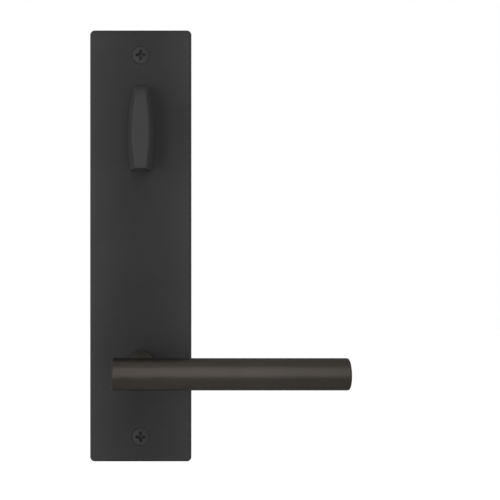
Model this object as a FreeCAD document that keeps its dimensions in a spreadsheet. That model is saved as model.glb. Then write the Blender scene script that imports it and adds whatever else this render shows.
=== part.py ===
import FreeCAD, Part

import math
import os

import Sketcher

# Door lever on a long backplate, with a locking turn above the lever.
# The origin is on the lever's turning axis, in the plane of the door's face.
# +X runs along the lever, +Z is up and +Y points into the door.
# Profiles of turned pieces are drawn as (y, radius), so a place in front of the door has a negative y.

SIZES = {
    # Backplate
    "plate_width": 55,
    "plate_height": 234,
    "plate_below": 53,
    "plate_corner": 2.5,
    "plate_edge": 1.8,
    "front_wall": 3,
    "side_wall": 3,
    "recess_corner": 3,
    "boss_wall": 3,
    # Ribs across the back of the plate
    "rib_thickness": 2,
    "rib_height": 3.5,
    "rib_margin": 9.5,
    "rib_count": 5,
    # Clearances
    "seat_gap": 0.02,
    "running_gap": 0.05,
    "lip_gap": 0.3,
    "cover_gap": 0.3,
    "stop_gap": 0.1,
    # Fixing screws
    "screw_margin": 13.75,
    "fixing_thread_radius": 2.5,
    "fixing_neck_radius": 2.2,
    "fixing_head_radius": 4.7,
    "fixing_head_raise": 1.1,
    "fixing_head_rim": 0.2,
    "fixing_length": 50,
    "fixing_recess_span": 5.8,
    "fixing_recess_slot": 1.4,
    "fixing_recess_depth": 2,
    "boss_radius": 6,
    # Lever bar and neck
    "bar_radius": 8,
    "bar_reach": 103.5,
    "bar_overhang": 14.5,
    "bar_standoff": 41,
    "bar_edge": 1,
    "neck_radius": 7.5,
    "neck_shoulder": 1,
    "spigot_radius": 5,
    "spigot_depth": 9,
    "neck_web": 7,
    "lip_thickness": 1,
    "tail_flat": 5.25,
    "tail_overrun": 0.55,
    # Square spindle of the lever
    "spindle_width": 7.6,
    "spindle_reach": 50,
    "spindle_chamfer": 0.8,
    # Screws inside the neck
    "grub_radius": 2.5,
    "grub_length": 3.2,
    "grub_hex": 2.5,
    "grub_distance": 16,
    "bar_screw_radius": 2,
    "bar_screw_length": 20,
    "bar_screw_head_radius": 3.5,
    "bar_screw_head": 4,
    "bar_screw_hex": 3,
    # Lever bush, washer and ring
    "bush_wall": 2.95,
    "flange_thickness": 1.2,
    "flange_overlap": 2.5,
    "washer_thickness": 0.6,
    "clip_thickness": 1,
    "clip_width": 2.4,
    "clip_groove": 0.5,
    "clip_ear_radius": 1.4,
    "clip_eye_radius": 0.6,
    # Follower, stops and spring
    "follower_thickness": 1.8,
    "follower_radius": 12.6,
    "arm_width": 6,
    "tab_radius": 18.6,
    "tab_thickness": 1.8,
    "tab_depth": 3,
    "stop_radius": 2.5,
    "stop_drop": 0.2,
    "lever_swing": 45,
    "wire_diameter": 1.6,
    "coil_radius": 15,
    "coil_count": 2,
    "coil_gap": 0.1,
    "leg_overrun": 1.2,
    # Spring cover and its screws
    "cover_thickness": 1.5,
    "cover_margin": 2,
    "cover_corner": 4,
    "cover_opening": 11,
    "post_radius": 3,
    "post_inset": 4,
    "cover_screw_radius": 1.5,
    "cover_screw_head": 2.75,
    "cover_screw_length": 6.5,
    "cover_slot_span": 3,
    "cover_slot_width": 0.8,
    "cover_slot_depth": 0.9,
    # Locking turn
    "turn_drop": 54,
    "turn_half_width": 7.3,
    "turn_bow_radius": 118,
    "turn_bow_drop": 3.6,
    "turn_above": 23.4,
    "turn_below": 22.5,
    "turn_projection": 20,
    "turn_taper": 8,
    "turn_top_lean": 4.4,
    "turn_top_round": 6.5,
    "turn_edge": 1.2,
    "turn_lift": 0.3,
    "shank_radius": 5,
    "shank_flat": 4.2,
    "turn_bush_wall": 1.45,
    "turn_flange_overlap": 2,
    # Square bar and cross pin of the turn
    "tail_width": 5,
    "tail_inside": 9.5,
    "tail_reach": 32,
    "pin_radius": 1,
    "pin_distance": 2.5,
    # Detent of the turn
    "cam_half": 6.5,
    "cam_rounding": 3.6,
    "cam_thickness": 3.2,
    "nose_reach": 12,
    "nose_width": 4,
    "nose_angle": 45,
    "turn_stop_radius": 2,
    "leaf_thickness": 0.5,
    "leaf_width": 2.6,
    "leaf_half_span": 13,
    "leaf_peg_radius": 1.5,
}

document = FreeCAD.newDocument("door_lever_on_backplate")
sheet = document.addObject("Spreadsheet::Sheet", "Sizes")
for row, (name, number) in enumerate(SIZES.items(), start=1):
    sheet.set(f"A{row}", name)
    sheet.set(f"B{row}", str(number))
    sheet.setAlias(f"B{row}", name)
document.recompute()


class Size:
    """A length or angle as a number and as the sheet formula that gives it."""

    def __init__(self, value, text):
        self.value = float(value)
        self.text = text

    def __add__(self, other):
        other = as_size(other)
        return Size(self.value + other.value, f"({self.text} + {other.text})")

    def __sub__(self, other):
        other = as_size(other)
        return Size(self.value - other.value, f"({self.text} - {other.text})")

    def __mul__(self, other):
        other = as_size(other)
        return Size(self.value * other.value, f"({self.text} * {other.text})")

    def __truediv__(self, other):
        other = as_size(other)
        return Size(self.value / other.value, f"({self.text} / {other.text})")

    def __rmul__(self, number):
        return as_size(number) * self

    def __neg__(self):
        return Size(-self.value, f"(0 - {self.text})")


def as_size(number):
    return number if isinstance(number, Size) else Size(number, str(number))


def cosine(angle):
    return Size(math.cos(math.radians(angle.value)), f"cos({angle.text})")


def sine(angle):
    return Size(math.sin(math.radians(angle.value)), f"sin({angle.text})")


def other_leg(long_side, leg):
    """The other leg of a right-angled triangle."""
    return Size(math.sqrt(long_side.value**2 - leg.value**2), f"sqrt({long_side.text}^2 - {leg.text}^2)")


class Sizes:
    """The sheet's cells by name, and the sizes that follow from them."""

    def __init__(self):
        for alias in SIZES:
            setattr(self, alias, Size(sheet.get(alias), f"Sizes.{alias}"))


s = Sizes()

# Depths in front of the door's face, stacked from the spring cover to the plate's front
s.follower_back = s.cover_thickness + s.cover_gap
s.follower_front = s.follower_back + s.follower_thickness
s.wire_radius = s.wire_diameter / 2
s.coil_back = s.follower_front + s.cover_gap + s.wire_radius
s.coil_front = s.coil_back + s.coil_count * (s.wire_diameter + s.coil_gap)
s.recess_floor = s.coil_front + s.wire_radius + s.coil_gap
s.plate_depth = s.recess_floor + s.front_wall
s.stop_end = s.follower_back + s.stop_drop

# Lever stack behind the plate's front wall
s.lever_washer_back = s.follower_front + s.running_gap
s.lever_flange_back = s.lever_washer_back + s.washer_thickness + s.running_gap
s.lever_boss_rim = s.lever_flange_back + s.flange_thickness
s.lever_bush_front = s.plate_depth - s.lip_thickness - s.running_gap
s.lever_shoulder = s.lever_bush_front + s.stop_gap
s.lever_clip_front = s.follower_back - s.running_gap
s.lever_clip_back = s.lever_clip_front - s.clip_thickness
s.lever_tail_end = s.lever_clip_back - s.tail_overrun
s.journal_radius = s.neck_radius - s.neck_shoulder
s.bush_bore = s.journal_radius + s.running_gap
s.bush_radius = s.bush_bore + s.bush_wall
s.flange_radius = s.bush_radius + s.flange_overlap
s.lever_boss_radius = s.bush_radius + s.boss_wall
s.bar_distance = s.plate_depth + s.bar_standoff
s.bar_back = s.bar_distance - s.bar_radius
s.socket_end = s.bar_back - s.neck_web
s.spindle_front = s.socket_end - s.bar_screw_head - s.lip_gap
s.socket_half = s.spindle_width / 2 + s.running_gap
s.spigot_end = s.bar_back + s.spigot_depth
s.grub_depth = s.plate_depth + s.grub_distance

# Turn stack behind the plate's front wall
s.cam_back = s.follower_back + s.running_gap
s.cam_front = s.cam_back + s.cam_thickness
s.turn_washer_back = s.cam_front + s.running_gap
s.turn_flange_back = s.turn_washer_back + s.washer_thickness + s.running_gap
s.turn_boss_rim = s.turn_flange_back + s.flange_thickness
s.turn_base = s.plate_depth + s.turn_lift
s.turn_front = s.turn_base + s.turn_projection
s.turn_bush_bore = s.shank_radius + s.running_gap
s.turn_bush_radius = s.turn_bush_bore + s.turn_bush_wall
s.turn_flange_radius = s.turn_bush_radius + s.turn_flange_overlap
s.turn_boss_radius = s.turn_bush_radius + s.boss_wall
s.tail_half = s.tail_width / 2
s.tail_front = s.plate_depth + s.tail_inside
s.pin_depth = s.plate_depth - s.pin_distance

# Places across the plate, from its outline inwards
s.plate_bottom = -s.plate_below
s.plate_top = s.plate_height - s.plate_below
s.screw_bottom = s.plate_bottom + s.screw_margin
s.screw_top = s.plate_top - s.screw_margin
s.turn_height = s.plate_top - s.turn_drop
s.inner_half = s.plate_width / 2 - s.side_wall
s.arm_half = s.arm_width / 2
s.arm_reach = s.tab_radius + s.tab_thickness
s.cover_half_width = s.inner_half - s.cover_margin
s.cover_half_height = s.arm_reach + s.leg_overrun + s.cover_margin
s.post_x = s.cover_half_width - s.post_inset
s.post_z = s.cover_half_height - s.post_inset
s.rib_start = s.cover_half_height + s.rib_margin
s.rib_end = s.turn_height - s.nose_reach - s.rib_margin

# Stops of the lever: one beside the upper arm at rest, one beside the lower arm when it is down
s.stop_side = s.arm_half + s.stop_radius + s.stop_gap
s.stop_ring = s.tab_radius
s.end_stop_x = -(s.stop_side * cosine(s.lever_swing) + s.stop_ring * sine(s.lever_swing))
s.end_stop_z = s.stop_side * sine(s.lever_swing) - s.stop_ring * cosine(s.lever_swing)

# Stops of the turn, beside the cam's nose at both ends of a quarter turn
s.turn_stop_side = s.nose_width / 2 + s.turn_stop_radius + s.stop_gap
s.turn_stop_ring = s.nose_reach - s.turn_stop_radius
s.turn_stop_x = s.turn_stop_ring * sine(s.nose_angle) + s.turn_stop_side * cosine(s.nose_angle)
s.turn_stop_z = s.turn_stop_ring * cosine(s.nose_angle) - s.turn_stop_side * sine(s.nose_angle)

# Leaf spring of the turn, below the cam
s.leaf_top = s.cam_half + s.seat_gap
s.leaf_curl = s.leaf_peg_radius + s.running_gap
s.leaf_peg_drop = s.leaf_top + s.leaf_thickness + s.leaf_curl
s.leaf_back = s.cam_back + (s.cam_thickness - s.leaf_width) / 2

PLANES = {"front": "XZ_Plane", "side": "YZ_Plane", "level": "XY_Plane"}


def new_body(label, x=0, y=0, z=0):
    body = document.addObject("PartDesign::Body", label)
    body.Label = label
    for letter, place in (("x", x), ("y", y), ("z", z)):
        body.setExpression(f"Placement.Base.{letter}", as_size(place).text)
    return body


def new_sketch(body, name, plane, offset=0, turned=None):
    """A sketch on one of the body's own planes. On the front plane the offset is a depth in front of it."""
    sketch = body.newObject("Sketcher::SketchObject", name)
    support = next(f for f in body.Origin.OriginFeatures if f.Role == PLANES[plane])
    sketch.AttachmentSupport = [(support, "")]
    sketch.MapMode = "FlatFace"
    sketch.setExpression("AttachmentOffset.Base.z", as_size(offset).text)
    if turned is not None:
        sketch.setExpression("AttachmentOffset.Rotation.Angle", turned.text)
    return sketch


def bind(sketch, kind, places, size):
    index = sketch.addConstraint(Sketcher.Constraint(kind, *places, size.value))
    sketch.setExpression(f"Constraints[{index}]", size.text)


def bow(turn, x=None, y=None):
    """The edge that follows a point is an arc about a centre with this x or this y."""
    return {"left": turn == "left", "x": x, "y": y}


def arc_centre(start, end, edge):
    """The arc's centre, from the one ordinate that is given and the two ends."""
    (x0, y0), (x1, y1) = start, end
    middle_x, middle_y = (x0 + x1) / 2, (y0 + y1) / 2
    if edge["x"] is not None:
        x = as_size(edge["x"]).value
        return x, middle_y - (x1 - x0) * (x - middle_x) / (y1 - y0)
    y = as_size(edge["y"]).value
    return middle_x - (y1 - y0) * (y - middle_y) / (x1 - x0), y


def outline(sketch, points):
    """A closed outline through points (x, y), with a bow after a point whose next edge is an arc."""
    places = [(as_size(p[0]), as_size(p[1])) for p in points]
    starts, ends = [], []
    for n, point in enumerate(points):
        start = tuple(v.value for v in places[n])
        end = tuple(v.value for v in places[(n + 1) % len(points)])
        if len(point) == 2:
            line = Part.LineSegment(FreeCAD.Vector(*start, 0), FreeCAD.Vector(*end, 0))
            index = sketch.addGeometry(line, False)
            starts.append((index, 1))
            ends.append((index, 2))
            continue
        edge = point[2]
        x, y = arc_centre(start, end, edge)
        angles = [math.atan2(p[1] - y, p[0] - x) for p in (start, end)]
        if not edge["left"]:
            angles.reverse()
        circle = Part.Circle(FreeCAD.Vector(x, y, 0), FreeCAD.Vector(0, 0, 1), math.dist(start, (x, y)))
        index = sketch.addGeometry(Part.ArcOfCircle(circle, *angles), False)
        starts.append((index, 1 if edge["left"] else 2))
        ends.append((index, 2 if edge["left"] else 1))
    for n, place in enumerate(places):
        sketch.addConstraint(Sketcher.Constraint("Coincident", *ends[n - 1], *starts[n]))
        bind(sketch, "DistanceX", (-1, 1, *starts[n]), place[0])
        bind(sketch, "DistanceY", (-1, 1, *starts[n]), place[1])
    for n, point in enumerate(points):
        if len(point) == 2:
            continue
        for kind, centre in (("DistanceX", point[2]["x"]), ("DistanceY", point[2]["y"])):
            if centre is not None:
                bind(sketch, kind, (-1, 1, starts[n][0], 3), as_size(centre))
    return sketch


def rectangle(sketch, left, bottom, right, top):
    return outline(sketch, [(left, bottom), (right, bottom), (right, top), (left, top)])


def rounded_rectangle(sketch, half_width, bottom, top, radius):
    right = half_width
    left = -half_width
    return outline(
        sketch,
        [
            (left + radius, bottom),
            (right - radius, bottom, bow("left", x=right - radius)),
            (right, bottom + radius),
            (right, top - radius, bow("left", x=right - radius)),
            (right - radius, top),
            (left + radius, top, bow("left", x=left + radius)),
            (left, top - radius),
            (left, bottom + radius, bow("left", x=left + radius)),
        ],
    )


def circles(sketch, radius, *centres):
    for x, y in centres:
        x, y = as_size(x), as_size(y)
        ring = Part.Circle(FreeCAD.Vector(x.value, y.value, 0), FreeCAD.Vector(0, 0, 1), radius.value)
        index = sketch.addGeometry(ring, False)
        bind(sketch, "Radius", (index,), radius)
        bind(sketch, "DistanceX", (-1, 1, index, 3), x)
        bind(sketch, "DistanceY", (-1, 1, index, 3), y)
    return sketch


def double_flat(sketch, radius, half_flat):
    """A circle with two level flats."""
    end = other_leg(radius, half_flat)
    return outline(
        sketch,
        [
            (end, half_flat),
            (-end, half_flat, bow("left", x=0)),
            (-end, -half_flat),
            (end, -half_flat, bow("left", x=0)),
        ],
    )


def hexagon(sketch, across_flats, x=0, y=0):
    half = across_flats / 2
    corner = across_flats / math.sqrt(3)
    x, y = as_size(x), as_size(y)
    return outline(
        sketch,
        [
            (x + corner, y),
            (x + corner / 2, y + half),
            (x - corner / 2, y + half),
            (x - corner, y),
            (x - corner / 2, y - half),
            (x + corner / 2, y - half),
        ],
    )


def feature(body, kind, name, sketch, **lengths):
    made = body.newObject(f"PartDesign::{kind}", name)
    made.Profile = sketch
    for key, size in lengths.items():
        made.setExpression(key, as_size(size).text)
    return made


def pad(body, sketch, length, backwards=False, taper=None):
    made = feature(body, "Pad", f"{sketch.Name}_pad", sketch, Length=length)
    made.Reversed = backwards
    if taper is not None:
        made.setExpression("TaperAngle", taper.text)
    return made


def cut(body, sketch, depth, backwards=False):
    """A pocket, which must take material away. On the front plane it runs towards the door."""
    document.recompute()
    before = body.Shape.Volume
    made = feature(body, "Pocket", f"{sketch.Name}_cut", sketch, Length=depth)
    made.Reversed = backwards
    document.recompute()
    if not body.Shape.Volume < before - 1e-6:
        raise RuntimeError(f"{made.Name} takes nothing away")
    return made


def turned(body, name, points):
    """A solid of revolution about the body's own Y axis, from a profile of (y, radius)."""
    sketch = outline(new_sketch(body, name, "side"), points)
    made = body.newObject("PartDesign::Revolution", f"{name}_turned")
    made.Profile = sketch
    made.ReferenceAxis = (sketch, ["H_Axis"])
    made.Angle = 360
    return made


def dress(body, kind, name, base, chosen, **lengths):
    """A fillet or chamfer on those edges of a feature that the test chooses."""
    document.recompute()
    edges = [f"Edge{n}" for n, edge in enumerate(base.Shape.Edges, start=1) if chosen(edge)]
    if not edges:
        raise RuntimeError(f"{name} finds no edge")
    made = body.newObject(f"PartDesign::{kind}", name)
    made.Base = (base, edges)
    for key, size in lengths.items():
        made.setExpression(key, as_size(size).text)
    return made


def lies_at(edge, **places):
    """Whether the whole edge lies at the given x, y or z."""
    box = edge.BoundBox
    for letter, place in places.items():
        low = getattr(box, f"{letter.upper()}Min")
        high = getattr(box, f"{letter.upper()}Max")
        if abs(low - place) > 1e-4 or abs(high - place) > 1e-4:
            return False
    return True


def make_backplate():
    body = new_body("backplate")
    blank = new_sketch(body, "plate_blank", "front")
    rounded_rectangle(blank, s.plate_width / 2, s.plate_bottom, s.plate_top, s.plate_corner)
    slab = pad(body, blank, s.plate_depth)
    front = -s.plate_depth.value
    dress(body, "Fillet", "front_rim", slab, lambda edge: lies_at(edge, y=front), Radius=s.plate_edge)

    recess = new_sketch(body, "recess", "front")
    low = s.plate_bottom + s.side_wall
    high = s.plate_top - s.side_wall
    rounded_rectangle(recess, s.inner_half, low, high, s.recess_corner)
    cut(body, recess, s.recess_floor, backwards=True)

    rib = new_sketch(body, "rib", "front", s.recess_floor)
    rectangle(rib, -s.inner_half, s.rib_start, s.inner_half, s.rib_start + s.rib_thickness)
    first_rib = pad(body, rib, s.rib_height, backwards=True)
    ribs = body.newObject("PartDesign::LinearPattern", "ribs")
    ribs.Originals = [first_rib]
    ribs.Direction = (rib, ["V_Axis"])
    ribs.setExpression("Length", (s.rib_end - s.rib_start - s.rib_thickness).text)
    ribs.setExpression("Occurrences", s.rib_count.text)
    body.Tip = ribs
    document.recompute()

    raised = (
        ("fixing_bosses", s.boss_radius, s.recess_floor, [(0, s.screw_bottom), (0, s.screw_top)]),
        ("cover_posts", s.post_radius, s.recess_floor - s.cover_thickness, post_places()),
        ("lever_boss", s.lever_boss_radius, s.recess_floor - s.lever_boss_rim, [(0, 0)]),
        ("turn_boss", s.turn_boss_radius, s.recess_floor - s.turn_boss_rim, [(0, s.turn_height)]),
        (
            "lever_stops",
            s.stop_radius,
            s.recess_floor - s.stop_end,
            [(-s.stop_side, s.stop_ring), (s.end_stop_x, s.end_stop_z)],
        ),
        (
            "turn_stops",
            s.turn_stop_radius,
            s.recess_floor - s.stop_end,
            [(-s.turn_stop_x, s.turn_height + s.turn_stop_z), (s.turn_stop_x, s.turn_height + s.turn_stop_z)],
        ),
        (
            "leaf_pegs",
            s.leaf_peg_radius,
            s.recess_floor - s.stop_end,
            [
                (-s.leaf_half_span, s.turn_height - s.leaf_peg_drop),
                (s.leaf_half_span, s.turn_height - s.leaf_peg_drop),
            ],
        ),
    )
    for name, radius, length, centres in raised:
        footprint = new_sketch(body, name, "front", s.recess_floor)
        pad(body, circles(footprint, radius, *centres), length, backwards=True)

    lip = new_sketch(body, "lever_lip", "front", s.plate_depth)
    cut(body, circles(lip, s.neck_radius + s.lip_gap, (0, 0)), s.plate_depth)
    seat = new_sketch(body, "lever_bush_seat", "front")
    circles(seat, s.bush_radius + s.seat_gap, (0, 0))
    cut(body, seat, s.plate_depth - s.lip_thickness, backwards=True)
    turn_seat = new_sketch(body, "turn_bush_seat", "front", s.plate_depth)
    circles(turn_seat, s.turn_bush_radius + s.seat_gap, (0, s.turn_height))
    cut(body, turn_seat, s.plate_depth)
    pilots = new_sketch(body, "post_holes", "front", s.cover_thickness)
    circles(pilots, s.cover_screw_radius + s.seat_gap, *post_places())
    cut(body, pilots, s.cover_screw_length, backwards=True)

    places = new_sketch(body, "fixing_places", "front", s.plate_depth)
    circles(places, s.fixing_thread_radius, (0, s.screw_bottom), (0, s.screw_top))
    document.recompute()
    before = body.Shape.Volume
    holes = body.newObject("PartDesign::Hole", "fixing_holes")
    holes.Profile = places
    holes.Threaded = False
    holes.setExpression("Diameter", (s.fixing_thread_radius * 2 + s.lip_gap).text)
    holes.DepthType = "ThroughAll"
    holes.HoleCutType = "Countersink"
    holes.HoleCutCustomValues = True
    sink = s.fixing_head_radius + s.fixing_head_rim + s.running_gap
    holes.setExpression("HoleCutDiameter", (sink * 2).text)
    holes.HoleCutCountersinkAngle = 90
    document.recompute()
    if not body.Shape.Volume < before:
        raise RuntimeError("the fixing holes take nothing away")


def make_lever_bush():
    body = new_body("lever_bush")
    turned(
        body,
        "lever_bush_profile",
        [
            (-s.lever_bush_front, s.bush_bore),
            (-s.lever_flange_back, s.bush_bore),
            (-s.lever_flange_back, s.flange_radius),
            (-s.lever_boss_rim, s.flange_radius),
            (-s.lever_boss_rim, s.bush_radius),
            (-s.lever_bush_front, s.bush_radius),
        ],
    )


def make_turn_bush():
    body = new_body("turn_bush", z=s.turn_height)
    turned(
        body,
        "turn_bush_profile",
        [
            (-s.plate_depth, s.turn_bush_bore),
            (-s.turn_flange_back, s.turn_bush_bore),
            (-s.turn_flange_back, s.turn_flange_radius),
            (-s.turn_boss_rim, s.turn_flange_radius),
            (-s.turn_boss_rim, s.turn_bush_radius),
            (-s.plate_depth, s.turn_bush_radius),
        ],
    )


def make_washer(label, back, bore, radius, height=0):
    body = new_body(label, z=height)
    front = back + s.washer_thickness
    turned(body, f"{label}_profile", [(-front, bore), (-back, bore), (-back, radius), (-front, radius)])


def make_circlip(label, groove_radius, back, height=0):
    """An open ring with two pierced ears below its gap, set in a shaft's groove."""
    body = new_body(label, z=height)
    inner = groove_radius + s.seat_gap
    outer = inner + s.clip_width
    gap_half = s.clip_ear_radius
    ear_x = gap_half + s.clip_ear_radius + s.stop_gap
    ear_z = s.clip_ear_radius / 2 - outer
    ring = new_sketch(body, f"{label}_ring", "front", back)
    circles(ring, inner, (0, 0))
    circles(ring, outer, (0, 0))
    pad(body, ring, s.clip_thickness)
    gap = new_sketch(body, f"{label}_gap", "front", back + s.clip_thickness)
    rectangle(gap, -gap_half, -(outer * 2), gap_half, 0)
    cut(body, gap, s.clip_thickness)
    ears = new_sketch(body, f"{label}_ears", "front", back)
    circles(ears, s.clip_ear_radius, (-ear_x, ear_z), (ear_x, ear_z))
    pad(body, ears, s.clip_thickness)
    eyes = new_sketch(body, f"{label}_eyes", "front", back + s.clip_thickness)
    circles(eyes, s.clip_eye_radius, (-ear_x, ear_z), (ear_x, ear_z))
    cut(body, eyes, s.clip_thickness)


def cross_recess(body, name, depth_place, span, slot, depth, plane_turned=False):
    """A cross-shaped driver recess, cut from the head's outer side."""
    for part_name, width, height in (("upright", slot, span), ("level", span, slot)):
        arm = new_sketch(body, f"{name}_{part_name}", "front", depth_place)
        rectangle(arm, -width / 2, -height / 2, width / 2, height / 2)
        cut(body, arm, depth, backwards=plane_turned)


def make_fixing_screw(label, height):
    """A raised countersunk screw. The shank is thinner than the thread where it passes the plate."""
    body = new_body(label, y=-s.plate_depth, z=height)
    radius = s.fixing_head_radius
    cone_end = s.fixing_head_rim + radius - s.fixing_neck_radius
    thread_start = s.plate_depth + s.lip_gap
    end = s.fixing_length
    turned(
        body,
        f"{label}_profile",
        [
            (-s.fixing_head_raise, 0, bow("right", y=0)),
            (0, radius),
            (s.fixing_head_rim, radius),
            (cone_end, s.fixing_neck_radius),
            (thread_start, s.fixing_neck_radius),
            (thread_start, s.fixing_thread_radius),
            (end - s.fixing_thread_radius / 3, s.fixing_thread_radius),
            (end, s.fixing_thread_radius * 2 / 3),
            (end, 0),
        ],
    )
    cross_recess(
        body,
        f"{label}_cross",
        s.fixing_head_raise,
        s.fixing_recess_span,
        s.fixing_recess_slot,
        s.fixing_recess_depth,
    )


def make_cover_screw(label, x, z):
    """A small countersunk screw, its head level with the cover's outer face."""
    body = new_body(label, x=x, z=z)
    radius = s.cover_screw_radius
    head = s.cover_screw_head
    end = s.cover_screw_length
    turned(
        body,
        f"{label}_profile",
        [
            (0, 0),
            (0, head),
            (-(head - radius), radius),
            (-(end - radius / 3), radius),
            (-end, radius * 2 / 3),
            (-end, 0),
        ],
    )
    cross_recess(
        body,
        f"{label}_cross",
        0,
        s.cover_slot_span,
        s.cover_slot_width,
        s.cover_slot_depth,
        plane_turned=True,
    )


def make_spring_cover():
    body = new_body("spring_cover")
    sheet_outline = new_sketch(body, "cover_outline", "front")
    height = s.cover_half_height
    rounded_rectangle(sheet_outline, s.cover_half_width, -height, height, s.cover_corner)
    pad(body, sheet_outline, s.cover_thickness)
    opening = new_sketch(body, "cover_opening_round", "front", s.cover_thickness)
    cut(body, circles(opening, s.cover_opening, (0, 0)), s.cover_thickness)
    head = s.cover_screw_head + s.seat_gap
    holes = new_sketch(body, "cover_holes", "front", s.cover_thickness)
    drilled = cut(body, circles(holes, s.cover_screw_radius + s.seat_gap, *post_places()), s.cover_thickness)
    dress(
        body,
        "Chamfer",
        "cover_sinks",
        drilled,
        lambda edge: lies_at(edge, y=0) and edge.isClosed() and edge.Length < head.value * 2 * math.pi,
        Size=s.cover_screw_head - s.cover_screw_radius,
    )


def post_places():
    return [(side * s.post_x, level * s.post_z) for side, level in ((-1, -1), (1, -1), (1, 1), (-1, 1))]


def make_lever_bar():
    body = new_body("lever_bar")
    section = new_sketch(body, "bar_section", "side", -s.bar_overhang)
    circles(section, s.bar_radius, (-s.bar_distance, 0))
    rod = pad(body, section, s.bar_overhang + s.bar_reach)
    ends = (-s.bar_overhang.value, s.bar_reach.value)
    dress(
        body,
        "Fillet",
        "bar_ends",
        rod,
        lambda edge: any(lies_at(edge, x=end) for end in ends),
        Radius=s.bar_edge,
    )
    socket = new_sketch(body, "bar_socket", "front", s.spigot_end + s.running_gap)
    cut(body, circles(socket, s.spigot_radius + s.seat_gap, (0, 0)), s.spigot_depth + s.neck_web)
    thread = new_sketch(body, "bar_thread", "front", s.socket_end + s.bar_screw_length + s.stop_gap)
    cut(body, circles(thread, s.bar_screw_radius + s.seat_gap, (0, 0)), s.bar_screw_length)


def make_lever_neck():
    body = new_body("lever_neck")
    groove_front = s.lever_clip_front + s.running_gap
    groove_back = s.lever_clip_back - s.running_gap
    groove = s.journal_radius - s.clip_groove
    turned(
        body,
        "neck_profile",
        [
            (-s.bar_distance, 0),
            (-s.bar_distance, s.neck_radius),
            (-s.lever_shoulder, s.neck_radius),
            (-s.lever_shoulder, s.journal_radius),
            (-groove_front, s.journal_radius),
            (-groove_front, groove),
            (-groove_back, groove),
            (-groove_back, s.journal_radius),
            (-s.lever_tail_end, s.journal_radius),
            (-s.lever_tail_end, 0),
        ],
    )
    cope = new_sketch(body, "neck_cope", "side", -(s.neck_radius * 2))
    circles(cope, s.bar_radius + s.seat_gap, (-s.bar_distance, 0))
    cut(body, cope, s.neck_radius * 4, backwards=True)
    spigot = new_sketch(body, "neck_spigot", "front", s.socket_end)
    pad(body, circles(spigot, s.spigot_radius, (0, 0)), s.spigot_end - s.socket_end)
    socket = new_sketch(body, "neck_socket", "front", s.lever_tail_end)
    rectangle(socket, -s.socket_half, -s.socket_half, s.socket_half, s.socket_half)
    cut(body, socket, s.socket_end - s.lever_tail_end, backwards=True)
    flats = new_sketch(body, "neck_flats", "front", s.lever_tail_end)
    for side in (1, -1):
        low, high = (s.tail_flat * side, s.neck_radius * side)
        rectangle(flats, -s.neck_radius, low, s.neck_radius, high)
    cut(body, flats, s.follower_front + s.running_gap - s.lever_tail_end, backwards=True)
    bolt = new_sketch(body, "neck_bolt_hole", "front", s.socket_end)
    circles(bolt, s.bar_screw_radius + s.running_gap, (0, 0))
    cut(body, bolt, s.spigot_end - s.socket_end, backwards=True)
    tapped = new_sketch(body, "neck_grub_hole", "level", -s.neck_radius)
    cut(body, circles(tapped, s.grub_radius + s.seat_gap, (0, -s.grub_depth)), s.neck_radius, backwards=True)


def make_lever_spindle():
    body = new_body("lever_spindle")
    half = s.spindle_width / 2
    section = new_sketch(body, "spindle_section", "front", -s.spindle_reach)
    rectangle(section, -half, -half, half, half)
    bar = pad(body, section, s.spindle_front + s.spindle_reach)
    ends = (-s.spindle_front.value, s.spindle_reach.value)
    dress(
        body,
        "Chamfer",
        "spindle_ends",
        bar,
        lambda edge: any(lies_at(edge, y=end) for end in ends),
        Size=s.spindle_chamfer,
    )


def make_lever_grub_screw():
    """A set screw that runs up from the neck's underside to the square spindle."""
    body = new_body("lever_grub_screw")
    top = -(s.spindle_width / 2 + s.seat_gap)
    section = new_sketch(body, "grub_section", "level", top - s.grub_length)
    cylinder = pad(body, circles(section, s.grub_radius, (0, -s.grub_depth)), s.grub_length)
    dress(
        body,
        "Chamfer",
        "grub_point",
        cylinder,
        lambda edge: lies_at(edge, z=top.value),
        Size=s.grub_radius / 4,
    )
    driver = new_sketch(body, "grub_driver", "level", top - s.grub_length)
    cut(body, hexagon(driver, s.grub_hex, y=-s.grub_depth), s.grub_length / 2, backwards=True)


def make_bar_screw():
    body = new_body("bar_screw")
    head = s.socket_end - s.bar_screw_head
    tip = s.socket_end + s.bar_screw_length
    turned(
        body,
        "bar_screw_profile",
        [
            (-head, 0),
            (-head, s.bar_screw_head_radius),
            (-s.socket_end, s.bar_screw_head_radius),
            (-s.socket_end, s.bar_screw_radius),
            (-tip, s.bar_screw_radius),
            (-tip, 0),
        ],
    )
    driver = new_sketch(body, "bar_screw_driver", "front", head)
    cut(body, hexagon(driver, s.bar_screw_hex), s.bar_screw_head / 2, backwards=True)


def make_lever_follower():
    """A disc with an arm up and an arm down. The upper arm's end is bent forward past the spring's leg."""
    body = new_body("lever_follower")
    disc = new_sketch(body, "follower_disc", "front", s.follower_back)
    pad(body, circles(disc, s.follower_radius, (0, 0)), s.follower_thickness)
    arms = new_sketch(body, "follower_arms", "front", s.follower_back)
    rectangle(arms, -s.arm_half, -s.arm_reach, s.arm_half, s.arm_reach)
    pad(body, arms, s.follower_thickness)
    tab = new_sketch(body, "follower_tab", "front", s.follower_back)
    rectangle(tab, -s.arm_half, s.tab_radius, s.arm_half, s.arm_reach)
    pad(body, tab, s.follower_thickness + s.tab_depth)
    bore = new_sketch(body, "follower_bore", "front", s.follower_front)
    double_flat(bore, s.journal_radius + s.running_gap, s.tail_flat + s.running_gap)
    cut(body, bore, s.follower_thickness)


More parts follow.
